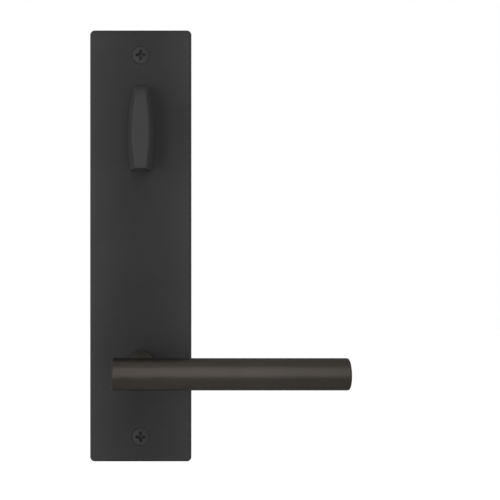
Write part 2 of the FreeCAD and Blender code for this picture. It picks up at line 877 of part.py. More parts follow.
def make_turn_knob():
    """A bowed, tapered grip with a leaning top end and a square lower end, on a round shank."""
    body = new_body("turn_knob", z=s.turn_height)
    middle = -s.turn_bow_drop
    reach = s.turn_above + s.turn_bow_drop + s.turn_projection * sine(s.turn_taper) + 1
    centre = s.turn_bow_radius - s.turn_half_width
    half = other_leg(s.turn_bow_radius, reach) - centre
    grip = new_sketch(body, "grip_outline", "front", s.turn_base)
    outline(
        grip,
        [
            (half, middle - reach, bow("left", x=-centre)),
            (half, middle + reach),
            (-half, middle + reach, bow("left", x=centre)),
            (-half, middle - reach),
        ],
    )
    pad(body, grip, s.turn_projection, taper=-s.turn_taper)

    lower = new_sketch(body, "grip_lower_cut", "side", -(s.turn_half_width * 2))
    rectangle(lower, -(s.turn_front + 1), -(reach * 2), -(s.turn_base - 1), -s.turn_below)
    cut(body, lower, s.turn_half_width * 4, backwards=True)
    upper = new_sketch(body, "grip_upper_cut", "side", -(s.turn_half_width * 2))
    outline(
        upper,
        [
            (-s.turn_base, s.turn_above),
            (-s.turn_base, reach * 2),
            (-(s.turn_front + 1), reach * 2),
            (-(s.turn_front + 1), s.turn_above - s.turn_top_lean - s.turn_top_lean / s.turn_projection),
        ],
    )
    sloped = cut(body, upper, s.turn_half_width * 4, backwards=True)
    crest = (s.turn_above - s.turn_top_lean).value
    front = -s.turn_front.value
    rounded = dress(
        body,
        "Fillet",
        "grip_crest",
        sloped,
        lambda edge: lies_at(edge, y=front) and abs(edge.CenterOfMass.z - crest) < 0.2,
        Radius=s.turn_top_round,
    )
    dress(
        body,
        "Fillet",
        "grip_edges",
        rounded,
        lambda edge: lies_at(edge, y=front) and edge.Length > s.turn_above.value,
        Radius=s.turn_edge,
    )
    make_turn_shank(body)


def make_turn_shank(body):
    groove = s.shank_radius - s.clip_groove
    tail_end = s.lever_tail_end
    groove_front = s.cam_back
    groove_back = s.cam_back - s.clip_thickness - s.running_gap * 2
    shank = new_sketch(body, "shank", "front", tail_end)
    pad(body, circles(shank, s.shank_radius, (0, 0)), s.turn_base - tail_end)
    ring = outline(
        new_sketch(body, "shank_groove", "side"),
        [
            (-groove_front, groove),
            (-groove_back, groove),
            (-groove_back, s.shank_radius * 2),
            (-groove_front, s.shank_radius * 2),
        ],
    )
    document.recompute()
    before = body.Shape.Volume
    turned_groove = body.newObject("PartDesign::Groove", "shank_groove_turned")
    turned_groove.Profile = ring
    turned_groove.ReferenceAxis = (ring, ["H_Axis"])
    turned_groove.Angle = 360
    document.recompute()
    if not body.Shape.Volume < before:
        raise RuntimeError("the shank's groove takes nothing away")
    flats = new_sketch(body, "shank_flats", "front", tail_end)
    for side in (1, -1):
        rectangle(flats, -s.shank_radius, s.shank_flat * side, s.shank_radius, s.shank_radius * 1.2 * side)
    cut(body, flats, s.cam_front + s.running_gap - tail_end, backwards=True)
    socket = new_sketch(body, "shank_socket", "front", tail_end)
    half = s.tail_half + s.running_gap
    rectangle(socket, -half, -half, half, half)
    cut(body, socket, s.tail_front + s.running_gap - tail_end, backwards=True)
    cross = new_sketch(body, "shank_pin_hole", "side", -s.shank_radius)
    circles(cross, s.pin_radius + s.seat_gap, (-s.pin_depth, 0))
    cut(body, cross, s.shank_radius * 2, backwards=True)


def make_turn_spindle():
    body = new_body("turn_spindle", z=s.turn_height)
    section = new_sketch(body, "turn_spindle_section", "front", -s.tail_reach)
    rectangle(section, -s.tail_half, -s.tail_half, s.tail_half, s.tail_half)
    bar = pad(body, section, s.tail_front + s.tail_reach)
    end = s.tail_reach.value
    dress(body, "Chamfer", "turn_spindle_end", bar, lambda edge: lies_at(edge, y=end), Size=s.tail_half / 4)
    hole = new_sketch(body, "turn_spindle_hole", "side", -s.tail_width)
    circles(hole, s.pin_radius + s.seat_gap, (-s.pin_depth, 0))
    cut(body, hole, s.tail_width * 2, backwards=True)


def make_turn_pin():
    body = new_body("turn_pin", z=s.turn_height)
    half = s.shank_radius - s.running_gap * 2
    section = new_sketch(body, "pin_section", "side", -half)
    rod = pad(body, circles(section, s.pin_radius, (-s.pin_depth, 0)), half * 2)
    ends = (-half.value, half.value)
    dress(
        body,
        "Chamfer",
        "pin_ends",
        rod,
        lambda edge: any(lies_at(edge, x=end) for end in ends),
        Size=s.pin_radius / 4,
    )


def make_detent_cam():
    """A square cam with rounded corners, and a nose between two of its sides that meets the stops."""
    body = new_body("detent_cam", z=s.turn_height)
    square = new_sketch(body, "cam_square", "front", s.cam_back)
    rectangle(square, -s.cam_half, -s.cam_half, s.cam_half, s.cam_half)
    block = pad(body, square, s.cam_thickness)
    dress(
        body,
        "Fillet",
        "cam_corners",
        block,
        lambda edge: abs(edge.tangentAt(edge.FirstParameter).y) > 0.9,
        Radius=s.cam_rounding,
    )
    nose = new_sketch(body, "cam_nose", "front", s.cam_back, turned=s.nose_angle)
    rectangle(nose, -s.nose_width / 2, 0, s.nose_width / 2, s.nose_reach)
    pad(body, nose, s.cam_thickness)
    bore = new_sketch(body, "cam_bore", "front", s.cam_front)
    double_flat(bore, s.shank_radius + s.running_gap, s.shank_flat + s.running_gap)
    cut(body, bore, s.cam_thickness)


def make_detent_spring():
    """A strip pressed up against the cam, its ends curled half round two pegs."""
    body = new_body("detent_spring", z=s.turn_height)
    span = s.leaf_half_span
    top = -s.leaf_top
    under = top - s.leaf_thickness
    inner = -(s.leaf_peg_drop + s.leaf_curl)
    outer = inner - s.leaf_thickness
    strip = new_sketch(body, "leaf_outline", "front", s.leaf_back)
    outline(
        strip,
        [
            (-span, top),
            (span, top, bow("right", x=span)),
            (span, outer),
            (span, inner, bow("left", x=span)),
            (span, under),
            (-span, under, bow("left", x=-span)),
            (-span, inner),
            (-span, outer, bow("right", x=-span)),
        ],
    )
    pad(body, strip, s.leaf_width)


def make_return_spring():
    """A round wire coiled about the lever's axis, with a bent leg at each end.

    The back leg stands beside the follower's tab and the front leg beside the rest stop.
    """
    radius = s.coil_radius.value
    wire = s.wire_radius.value
    bend = s.arm_half.value + wire + s.stop_gap.value
    stop_x, stop_z = -s.stop_side.value, s.stop_ring.value
    stop_distance = math.hypot(stop_x, stop_z)
    stop_angle = math.atan2(stop_z, stop_x)
    lag = s.stop_radius.value + wire + s.stop_gap.value / 2 - bend
    start = stop_angle + math.asin(lag / stop_distance)
    sweep = 2 * math.pi * s.coil_count.value + start - math.pi / 2
    rise = s.coil_front.value - s.coil_back.value
    pitch = rise / (sweep / (2 * math.pi))
    leg_end = s.arm_reach.value + s.leg_overrun.value

    # The coil is made about +Z, then laid over to rise towards the front from the top of its first turn
    coil = Part.makeHelix(pitch, rise, radius)
    laid_over = FreeCAD.Rotation(FreeCAD.Vector(1, 0, 0), 90)
    to_the_top = FreeCAD.Rotation(FreeCAD.Vector(0, 1, 0), -90)
    coil.Placement = FreeCAD.Placement(FreeCAD.Vector(0, -s.coil_back.value, 0), to_the_top * laid_over)
    edge = coil.Edges[0]

    def leg(parameter, along):
        place = edge.valueAt(parameter)
        tangent = edge.tangentAt(parameter).normalize() * along
        outward = FreeCAD.Vector(place.x, 0, place.z).normalize()
        middle = place + outward * bend
        corner = middle - (outward - tangent) * (bend / math.sqrt(2))
        turn_end = middle + tangent * bend
        arc = Part.Arc(place, corner, turn_end).toShape()
        straight = Part.LineSegment(turn_end, turn_end + outward * (leg_end - radius - bend)).toShape()
        return [arc, straight]

    back_leg = leg(edge.FirstParameter, -1)
    front_leg = leg(edge.LastParameter, 1)
    path = Part.Wire(Part.__sortEdges__([*back_leg, edge, *front_leg]))
    straight = back_leg[1]
    heading = straight.tangentAt(straight.FirstParameter)
    section = Part.Wire(Part.makeCircle(wire, straight.valueAt(straight.LastParameter), heading))
    spring = document.addObject("Part::Feature", "return_spring")
    spring.Label = "return_spring"
    spring.Shape = path.makePipeShell([section], True, False)
    spring.Placement = FreeCAD.Placement()


def make_all():
    make_backplate()
    make_lever_bush()
    make_turn_bush()
    make_washer(
        "lever_washer",
        s.lever_washer_back,
        s.journal_radius + s.running_gap,
        s.flange_radius - s.neck_shoulder,
    )
    make_washer(
        "turn_washer",
        s.turn_washer_back,
        s.shank_radius + s.running_gap,
        s.turn_flange_radius - s.running_gap,
        s.turn_height,
    )
    make_circlip("lever_circlip", s.journal_radius - s.clip_groove, s.lever_clip_back)
    make_circlip(
        "turn_circlip",
        s.shank_radius - s.clip_groove,
        s.cam_back - s.clip_thickness - s.running_gap,
        s.turn_height,
    )
    make_fixing_screw("fixing_screw_top", s.screw_top)
    make_fixing_screw("fixing_screw_bottom", s.screw_bottom)
    make_spring_cover()
    for n, (x, z) in enumerate(post_places(), start=1):
        make_cover_screw(f"cover_screw_{n}", x, z)
    make_lever_bar()
    make_lever_neck()
    make_lever_spindle()
    make_lever_grub_screw()
    make_bar_screw()
    make_lever_follower()
    make_return_spring()
    make_turn_knob()
    make_turn_spindle()
    make_turn_pin()
    make_detent_cam()
    make_detent_spring()


def check_and_write():
    document.recompute()
    pieces = [
        item
        for item in document.Objects
        if item.TypeId == "PartDesign::Body" or item.Name == "return_spring"
    ]
    for item in document.Objects:
        if {"Invalid", "Error"} & set(item.State):
            raise RuntimeError(f"{item.Name} failed: {item.State}")
    for piece in pieces:
        if piece.Shape.isNull() or not piece.Shape.isValid() or len(piece.Shape.Solids) != 1:
            raise RuntimeError(f"{piece.Label} is not one sound solid")
    os.makedirs("parts", exist_ok=True)
    for piece in pieces:
        piece.Shape.exportStep(os.path.join("parts", f"{piece.Label}.step"))
        print(f"{piece.Label}: {piece.Shape.Volume:.1f} mm3")


make_all()
check_and_write()
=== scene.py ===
import math
from collections import namedtuple

import bpy
import numpy as np
from bpy.props import FloatProperty, FloatVectorProperty, IntProperty, PointerProperty
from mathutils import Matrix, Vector


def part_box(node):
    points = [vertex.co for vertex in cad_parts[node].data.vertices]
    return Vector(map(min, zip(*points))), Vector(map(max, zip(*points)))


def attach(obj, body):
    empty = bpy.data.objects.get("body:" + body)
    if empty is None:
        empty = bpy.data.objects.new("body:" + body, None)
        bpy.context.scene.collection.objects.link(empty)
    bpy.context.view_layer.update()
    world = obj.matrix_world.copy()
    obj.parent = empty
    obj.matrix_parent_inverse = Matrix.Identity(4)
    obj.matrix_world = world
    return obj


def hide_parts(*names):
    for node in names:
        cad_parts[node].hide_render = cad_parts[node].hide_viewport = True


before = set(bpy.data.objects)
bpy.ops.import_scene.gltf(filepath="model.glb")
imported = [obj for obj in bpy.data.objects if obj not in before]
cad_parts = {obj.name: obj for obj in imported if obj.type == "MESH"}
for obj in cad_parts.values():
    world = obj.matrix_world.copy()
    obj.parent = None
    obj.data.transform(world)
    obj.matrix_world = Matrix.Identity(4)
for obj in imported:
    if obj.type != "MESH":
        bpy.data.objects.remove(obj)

bl_info = {
    "name": "Door lever finishes",
    "version": (1, 0, 0),
    "blender": (4, 5, 0),
    "location": "3D View > Sidebar > Door lever",
    "description": "Screws, paint, bronze, steel and nylon finishes, and a pale studio for a door lever",
    "category": "Object",
}

# Sizes of the carried pieces, from which the drawn screws and the studio take theirs
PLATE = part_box("backplate")
PLATE_FRONT = PLATE[0].y
DOOR_FACE = 0.0
FIXING_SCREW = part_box("fixing_screw_top")
FIXING_HEAD_RADIUS = (FIXING_SCREW[1].x - FIXING_SCREW[0].x) / 2
COVER_SCREWS = [f"cover_screw_{n}" for n in range(1, 5)]
COVER_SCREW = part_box(COVER_SCREWS[0])
COVER_HEAD_RADIUS = (COVER_SCREW[1].x - COVER_SCREW[0].x) / 2

WHOLE_TURN = 2 * math.pi
WHITE = (1.0, 1.0, 1.0, 1.0)
SHARP_ANGLE = math.radians(32)


def length(name, description, default, **limits):
    return FloatProperty(
        name=name, description=description, default=default, unit="LENGTH", precision=5, **limits
    )


def paint(name, description, default):
    return FloatVectorProperty(
        name=name, description=description, default=default, subtype="COLOR", size=3, min=0.0, max=1.0
    )


def share(name, description, default):
    return FloatProperty(
        name=name, description=description, default=default, min=0.0, max=1.0, subtype="FACTOR"
    )


def strength(name, description, default, **kinds):
    return FloatProperty(name=name, description=description, default=default, min=0.0, **kinds)


def watts(name, description, default):
    return strength(name, description, default, unit="POWER")


class FixingScrewSizes(bpy.types.PropertyGroup):
    """Sizes of the raised countersunk screws that hold the plate."""

    head_radius: length("Head radius", "From the axis to the head's rim", FIXING_HEAD_RADIUS)
    head_raise: length("Head raise", "How far the dome stands above its rim", PLATE_FRONT - FIXING_SCREW[0].y)
    head_rim: length("Rim", "Upright edge between the dome and the cone", 0.0002)
    neck_radius: length("Neck radius", "Plain shank inside the plate", 0.0022)
    thread_radius: length("Thread radius", "From the axis to the thread's crest", 0.0025)
    thread_pitch: length("Pitch", "Distance from one crest to the next", 0.0008)
    thread_start: length("Thread start", "From the rim to the first turn", DOOR_FACE - PLATE_FRONT + 0.0003)
    whole_length: length("Length", "From the rim to the tip", FIXING_SCREW[1].y - PLATE_FRONT)
    recess_span: length("Recess span", "Across the cross-shaped recess", 0.0058)
    recess_slot: length("Recess slot", "Width of each arm of the recess", 0.0014)
    recess_depth: length("Recess depth", "From the dome's top to the recess floor", 0.0026)


class CoverScrewSizes(bpy.types.PropertyGroup):
    """Sizes of the small countersunk screws of the spring cover."""

    head_radius: length("Head radius", "From the axis to the head's rim", COVER_HEAD_RADIUS)
    head_raise: length("Head raise", "How far the head stands above its rim", 0.0)
    head_rim: length("Rim", "Upright edge between the top and the cone", 0.00002)
    neck_radius: length("Neck radius", "Plain shank below the head", 0.0012)
    thread_radius: length("Thread radius", "From the axis to the thread's crest", 0.0015)
    thread_pitch: length("Pitch", "Distance from one crest to the next", 0.0005)
    thread_start: length("Thread start", "From the rim to the first turn", 0.0017)
    whole_length: length("Length", "From the rim to the tip", COVER_SCREW[1].y - COVER_SCREW[0].y)
    recess_span: length("Recess span", "Across the cross-shaped recess", 0.0030)
    recess_slot: length("Recess slot", "Width of each arm of the recess", 0.0007)
    recess_depth: length("Recess depth", "From the head's top to the recess floor", 0.0011)


class FinishSettings(bpy.types.PropertyGroup):
    """Colours and sheens of the finishes."""

    plate_black: paint("Plate black", "Satin black coat of the plate", (0.0402, 0.0402, 0.0402))
    turn_black: paint("Turn black", "Satin black coat of the turn", (0.0585, 0.0585, 0.0585))
    screw_black: paint("Screw black", "Blackened fixing screws", (0.053, 0.053, 0.053))
    bronze: paint("Dark bronze", "Warm dark finish of the bar", (0.0512, 0.0457, 0.0408))
    # Painted light: the neck's bronze is about twice as pale as the bar's, to stand in for light that the
    # shaded neck lacks
    neck_bronze_painted_light: paint("Neck bronze", "Paler bronze of the neck", (0.104, 0.0936, 0.0832))
    zinc: paint("Zinc", "Plated steel of the spindles and the cover", (0.5, 0.5, 0.49))
    blackened: paint("Blackened steel", "Rings, pins and hidden screws", (0.11, 0.11, 0.12))
    spring: paint("Spring steel", "Drawn wire and strip", (0.36, 0.35, 0.35))
    nylon: paint("Nylon", "Bushes and washers", (0.03, 0.03, 0.031))
    coat_roughness: share("Coat roughness", "Sheen of the black coat", 0.42)
    coat_gloss: share("Coat gloss", "How strongly the black coat mirrors", 0.03)
    bronze_metal: share("Bronze metal", "Share of bare metal in the bronze", 0.5)
    bronze_roughness: share("Bronze roughness", "Sheen of the bronze", 0.33)
    bronze_gloss: share("Bronze gloss", "How strongly the bronze's rims mirror", 0.2)
    lacquer_gloss: share("Lacquer gloss", "How strongly the bronze's lacquer mirrors", 0.03)
    # Painted light: how much the plate's colour is lifted towards its long edges, a painted sheen in place of
    # light from the lamps
    painted_edge_light: strength("Paler edges", "How much paler the plate is along its long edges", 0.36)
    grain: length("Coat grain", "Size of one bump of the sprayed coat", 0.0006)


class StudioSettings(bpy.types.PropertyGroup):
    """The camera, the lamps and the pale room."""

    focal: FloatProperty(name="Focal length", description="In widths of the picture", default=1.866, min=0.1)
    plate_column: FloatProperty(
        name="Plate column", description="Where the plate's middle stands across the picture", default=0.2816
    )
    eye_distance: length("Eye distance", "From the plate's front to the camera", 0.505)
    eye_drop: length("Eye drop", "How far the camera is below the plate's middle", 0.0022)
    far_left: watts("Far left lamp", "Tall soft box beside the object", 4.4)
    near_left: watts("Near left lamp", "Narrow soft box left of the camera", 2.8)
    near_right: watts("Near right lamp", "Tall soft box over the camera, a little to its right", 5.9)
    right: watts("Right lamp", "Tall soft box that fills the right side", 2.6)
    back: watts("Back lamp", "High, behind the plate", 1.6)
    front_room: strength("Front room light", "The room's own light from in front of the object", 0.0)
    back_room: strength("Back room light", "The room's own light from behind the object", 0.12)
    mirrored_room: strength("Mirrored room", "The room in front, as mirrors show it", 1.0)
    mirrored_floor: strength("Mirrored floor", "The floor in front, as mirrors show it", 0.05)
    floor_glow: strength("Floor glow", "Own light of the floor, as the camera sees it", 0.92)
    floor_colour: paint("Floor colour", "Pale floor that takes the shadow", (0.82, 0.82, 0.82))
    floor_drop: length("Floor drop", "From the plate's lower end to the floor", 0.25)
    floor_radius: length("Floor radius", "From the floor's middle to its edge", 4.0)
    floor_corners: IntProperty(name="Floor corners", description="Corners of its rim", default=96, min=8)


# Degrees to the right of straight ahead and degrees up, then the distance and the size in metres
Lamp = namedtuple("Lamp", "across up away width height")
LAMPS = {
    "far_left": Lamp(across=-62, up=1, away=1.2, width=0.5, height=1.2),
    "near_left": Lamp(across=-27, up=-3, away=1.1, width=0.3, height=0.7),
    "near_right": Lamp(across=6, up=17, away=1.1, width=0.6, height=1.6),
    "right": Lamp(across=78, up=1, away=1.2, width=0.5, height=1.2),
    "back": Lamp(across=155, up=40, away=1.2, width=0.8, height=0.6),
}

# A backdrop turns from its front to its back strength from this far in front of the object to as far behind
# it: metres on the floor, and the direction's Y in the room
FADE_DEPTH = 0.6


def cross_outline(half_span, half_slot, count, squareness=8, blend=2.2, steps=4000):
    """Outline of a cross as a polar curve, as the angles and radii of points spread evenly along it.

    Each arm is a superellipse, with radius (|cos/a|^n + |sin/b|^n)^(-1/n) for the squareness n. The two
    radii are joined by their norm of the power blend, which widens the middle.
    """
    fine = np.linspace(0.0, WHOLE_TURN, steps + 1)
    along, across = np.abs(np.cos(fine)), np.abs(np.sin(fine))
    level = ((along / half_span) ** squareness + (across / half_slot) ** squareness) ** (-1 / squareness)
    upright = ((along / half_slot) ** squareness + (across / half_span) ** squareness) ** (-1 / squareness)
    radius = np.minimum((level**blend + upright**blend) ** (1 / blend), half_span)
    step = np.hypot(np.diff(radius * np.cos(fine)), np.diff(radius * np.sin(fine)))
    travelled = np.concatenate([[0.0], np.cumsum(step)])
    places = np.linspace(0.0, travelled[-1], count, endpoint=False)
    return np.interp(places, travelled, fine), np.interp(places, travelled, radius)


def ring(angle, radius, along):
    """Points at these angles and radii about the axis, as (across, up, along)."""
    radius = np.broadcast_to(radius, angle.shape)
    along = np.broadcast_to(along, angle.shape)
    return np.stack([radius * np.cos(angle), radius * np.sin(angle), along], axis=1)


def recess_and_head(sizes, even):
    """Rings of a screw's cross recess and head, from the recess floor's middle to the neck.

    The recess shrinks from its outline to its floor, a shallow cone, in tapered walls. The head is a dome,
    along = -raise * (1 - (r / head)^2), then an upright rim and a straight cone to the neck. Widths are
    shares of the outline, and depths are shares of the way from the dome to the floor.
    """
    angle, outline = cross_outline(sizes.recess_span / 2, sizes.recess_slot / 2, len(even))
    head, neck = sizes.head_radius, sizes.neck_radius
    edge = 0.03 * sizes.recess_span
    lip = 0.4 * edge
    floor = sizes.recess_depth - sizes.head_raise
    floor_slope = 0.25 * sizes.recess_slot
    floor_widths = (0.35, 0.62)
    wall_widths_and_depths = ((0.66, 0.75), (0.8, 0.45), (0.96, 0.12))
    shares_to_rim = (0.0, 0.12, 0.3, 0.5, 0.7, 0.86, 0.96)
    rim_round, rim_drop = 0.3 * edge, 0.4
    cone_end = sizes.head_rim + head - neck
    neck_round, neck_run = 0.02 * head, 0.05 * head

    def dome(radius):
        return -sizes.head_raise * (1 - (radius / head) ** 2)

    rings = [ring(angle, 0.0, floor)]
    for width in floor_widths:
        rings.append(ring(angle, outline * width, floor - floor_slope * width))
    for width, depth in wall_widths_and_depths:
        rings.append(ring(angle, outline * width, dome(outline) + (floor - dome(outline)) * depth))
    rings.append(ring(angle, outline, dome(outline) + lip))
    for outwards in shares_to_rim:
        radius = (outline + edge) * (1 - outwards) + (head - edge) * outwards
        rings.append(ring(angle * (1 - outwards) + even * outwards, radius, dome(radius)))
    rings.append(ring(even, head - rim_round, dome(head - edge) * rim_drop))
    rings.append(ring(even, head, sizes.head_rim / 2))
    rings.append(ring(even, head, sizes.head_rim))
    rings.append(ring(even, neck + neck_round, cone_end - neck_round))
    rings.append(ring(even, neck, cone_end + neck_run))
    return np.stack(rings)


def threaded_shank(sizes, even, rows_per_turn=12):
    """Rings of a screw's threaded shank, from the thread's start to its tip.

    The radius is the crest less a flattened triangle wave of (along / pitch - angle / turn). The crest
    rises from the neck over the first pitch, and the whole is kept inside the tip's cone.
    """
    steepness, flat_crest = 1.35, 0.15
    thread_depth = 0.55 * sizes.thread_pitch
    tip_radius = 0.62 * sizes.thread_radius
    turns = (sizes.whole_length - sizes.thread_start) / sizes.thread_pitch
    along = np.linspace(sizes.thread_start, sizes.whole_length, int(turns * rows_per_turn))
    phase = along[:, None] / sizes.thread_pitch - even[None, :] / WHOLE_TURN
    wave = np.clip(np.abs(2 * (phase % 1.0) - 1) * steepness - flat_crest, 0.0, 1.0)
    risen = np.clip((along - sizes.thread_start) / sizes.thread_pitch, 0.0, 1.0)[:, None]
    crest = sizes.neck_radius + (sizes.thread_radius - sizes.neck_radius) * risen
    to_tip = (sizes.whole_length - along)[:, None]
    radius = np.minimum(crest - thread_depth * wave * risen, tip_radius + to_tip)
    along = np.broadcast_to(along[:, None], radius.shape)
    return np.stack([radius * np.cos(even), radius * np.sin(even), along], axis=2)


def screw_rings(sizes, columns=96):
    """Rings of a cross-recess screw about its own axis, as (across, up, along) with along towards the tip."""
    even = np.linspace(0.0, WHOLE_TURN, columns, endpoint=False)
    tip = ring(even, 0.0, sizes.whole_length)
    return np.concatenate([recess_and_head(sizes, even), threaded_shank(sizes, even), tip[None]])


def surface(name, rings, material):
    """A closed mesh from rings of points, with a pole at each end, its faces turned outwards.

    The faces are turned by the sign of the enclosed volume, the sum of each corner triple's product.
    """
    rows, columns = rings.shape[:2]
    points = np.concatenate([rings[0, :1], rings[1:-1].reshape(-1, 3), rings[-1, :1]])
    column = np.arange(columns)
    beside = (column + 1) % columns
    row_start = 1 + columns * np.arange(rows - 2)[:, None]
    band, band_beside = row_start[:-1] + column, row_start[:-1] + beside
    quads = np.stack([band, band + columns, band_beside + columns, band_beside], axis=2).reshape(-1, 4)
    last = row_start[-1]
    start_fan = np.stack([np.zeros_like(column), 1 + column, 1 + beside], axis=1)
    end_fan = np.stack([np.full_like(column, len(points) - 1), last + beside, last + column], axis=1)
    corners = points[quads]
    volume = np.einsum("ij,ij->i", corners[:, 0], np.cross(corners[:, 1], corners[:, 2])).sum()
    way = -1 if volume < 0 else 1
    faces = [*start_fan[:, ::way].tolist(), *quads[:, ::way].tolist(), *end_fan[:, ::way].tolist()]
    mesh = bpy.data.meshes.new(name)
    mesh.from_pydata(points.tolist(), [], faces)
    mesh.polygons.foreach_set("use_smooth", np.ones(len(faces), dtype=bool))
    mesh.set_sharp_from_angle(angle=SHARP_ANGLE)
    mesh.materials.append(material)
    piece = bpy.data.objects.new(name, mesh)
    bpy.context.scene.collection.objects.link(piece)
    return piece


def set_along_y(rings, place, direction):
    """Lays rings of (across, up, along) onto the Y axis, towards the door for 1 and away from it for -1."""
    across, up, along = np.moveaxis(rings, 2, 0)
    return np.stack([place.x + across, place.y + direction * along, place.z + up], axis=2)


def feed(tree, socket, value):
    """Links another node's socket to this one, or sets it to a plain value."""
    if isinstance(value, bpy.types.NodeSocket):
        tree.links.new(value, socket)
    else:
        socket.default_value = value


def add(tree, kind, settings=(), **inputs):
    """Adds a shader node and feeds its inputs, by name or, for _0 and _1, by number."""
    node = tree.nodes.new(kind)
    for key, value in dict(settings).items():
        setattr(node, key, value)
    for key, value in inputs.items():
        socket = node.inputs[int(key[1:])] if key[1:].isdigit() else node.inputs[key.replace("_", " ")]
        feed(tree, socket, value)
    return node


def finish(tree, shader, **inputs):
    """Feeds a shader's inputs by name."""
    for key, value in inputs.items():
        feed(tree, shader.inputs[key.replace("_", " ")], value)


def plain_material(name):
    """An empty material with its shader and its Object coordinates."""
    material = bpy.data.materials.new(name)
    material.use_nodes = True
    tree = material.node_tree
    shader = next(node for node in tree.nodes if node.type == "BSDF_PRINCIPLED")
    place = add(tree, "ShaderNodeTexCoord").outputs["Object"]
    return material, tree, shader, place


def noise(tree, place, size, detail=2.0, roughness=0.5, stretch=(1.0, 1.0, 1.0)):
    """Noise whose spots are about size metres across, drawn out along an axis where stretch is over 1."""
    scale = tuple(1 / (size * longer) for longer in stretch)
    laid = add(tree, "ShaderNodeMapping", Vector=place, Scale=scale).outputs["Vector"]
    return add(
        tree, "ShaderNodeTexNoise", Vector=laid, Scale=1.0, Detail=detail, Roughness=roughness
    ).outputs[0]


def uneven(tree, spots, middle, spread, low=0.25, high=0.75):
    """A value about the middle, less by spread where the noise is low and more where it is high."""
    return add(
        tree, "ShaderNodeMapRange",
        Value=spots, From_Min=low, From_Max=high, To_Min=middle - spread, To_Max=middle + spread,
    ).outputs[0]


def tinted(tree, spots, colour, spread, low=0.3, high=0.7):
    """The colour, darker by spread where the noise is low and lighter where it is high."""
    ramp = add(tree, "ShaderNodeValToRGB", Fac=spots)
    dark, light = ramp.color_ramp.elements
    dark.position, light.position = low, high
    dark.color = (*(part * (1 - spread) for part in colour), 1.0)
    light.color = (*(part * (1 + spread) for part in colour), 1.0)
    return ramp.outputs["Color"]


def raised(tree, height, distance, under=None):
    """Bumps of this depth in metres, on top of other bumps where under is given."""
    inputs = {"Height": height, "Distance": distance}
    if under is not None:
        inputs["Normal"] = under
    return add(tree, "ShaderNodeBump", **inputs).outputs["Normal"]


def paint_light_at_edges(tree, place, colour, edge_light):
    """The colour times 1 + the given share * (x / half the plate's width)^2: painted light, a painted sheen
    that makes the plate paler along its long edges.
    """
    across = add(tree, "ShaderNodeSeparateXYZ", Vector=place).outputs["X"]
    squared = add(tree, "ShaderNodeMath", {"operation": "MULTIPLY"}, _0=across, _1=across).outputs[0]
    gain = add(
        tree, "ShaderNodeMapRange", Value=squared, From_Max=PLATE[1].x ** 2, To_Min=1.0, To_Max=1.0 + edge_light
    ).outputs[0]
    return add(tree, "ShaderNodeVectorMath", {"operation": "SCALE"}, _0=colour, Scale=gain).outputs[0]


def sprayed_coat(name, colour, settings, edge_light=0.0):
    """Satin sprayed coat: fine orange-peel bumps, a faint cloud in its colour, a slightly uneven sheen, and
    where asked painted light that makes it paler along the plate's long edges.
    """
    material, tree, shader, place = plain_material(name)
    cloud = noise(tree, place, size=0.03, detail=3.0)
    peel = noise(tree, place, size=settings.grain, detail=3.0, roughness=0.6)
    waves = noise(tree, place, size=settings.grain * 5, detail=1.0)
    peel_bumps = raised(tree, peel, distance=0.000004)
    finish(
        tree,
        shader,
        # The base colour carries painted light: it grows paler towards the plate's long edges by the given
        # share
        Base_Color=paint_light_at_edges(tree, place, tinted(tree, cloud, colour, spread=0.06), edge_light),
        Roughness=uneven(tree, peel, settings.coat_roughness, spread=0.03),
        Normal=raised(tree, waves, distance=0.00001, under=peel_bumps),
        Specular_IOR_Level=settings.coat_gloss,
    )
    return material


def dark_bronze(name, colour, settings):
    """Dark bronze, part bare metal and part dull lacquer, with fine lengthwise polishing lines."""
    material, tree, shader, place = plain_material(name)
    cloud = noise(tree, place, size=0.025, detail=3.0)
    lines = noise(tree, place, size=0.0002, stretch=(60.0, 1.0, 1.0))
    gloss = settings.bronze_gloss
    finish(
        tree,
        shader,
        Base_Color=tinted(tree, cloud, colour, spread=0.08),
        Metallic=settings.bronze_metal,
        Roughness=uneven(tree, lines, settings.bronze_roughness, spread=0.04),
        Normal=raised(tree, lines, distance=0.000002),
        Specular_IOR_Level=settings.lacquer_gloss,
        Specular_Tint=(gloss, gloss, gloss, 1.0),
    )
    return material


def bare_steel(name, colour, roughness, stretch=(1.0, 1.0, 1.0)):
    """Plated or drawn steel: metal with faint stains, and an uneven sheen that stretch draws into lines."""
    material, tree, shader, place = plain_material(name)
    stain = noise(tree, place, size=0.006, detail=4.0, roughness=0.6)
    lines = noise(tree, place, size=0.00015, stretch=stretch)
    finish(
        tree,
        shader,
        Base_Color=tinted(tree, stain, colour, spread=0.1),
        Metallic=1.0,
        Roughness=uneven(tree, lines, roughness, spread=0.07),
        Normal=raised(tree, lines, distance=0.000004),
    )
    return material


def moulded_nylon(name, colour, roughness=0.44):
    """Black nylon: waxy, with faint flow clouds."""
    material, tree, shader, place = plain_material(name)
    flow = noise(tree, place, size=0.004)
    pores = noise(tree, place, size=0.0003)
    finish(
        tree,
        shader,
        Base_Color=tinted(tree, flow, colour, spread=0.05),
        Roughness=uneven(tree, flow, roughness, spread=0.06),
        Normal=raised(tree, pores, distance=0.000004),
    )
    return material


def dress(material, *nodes):
    """Gives carried pieces this material in place of their plain one."""
    for name in nodes:
        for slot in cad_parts[name].material_slots:
            slot.material = material


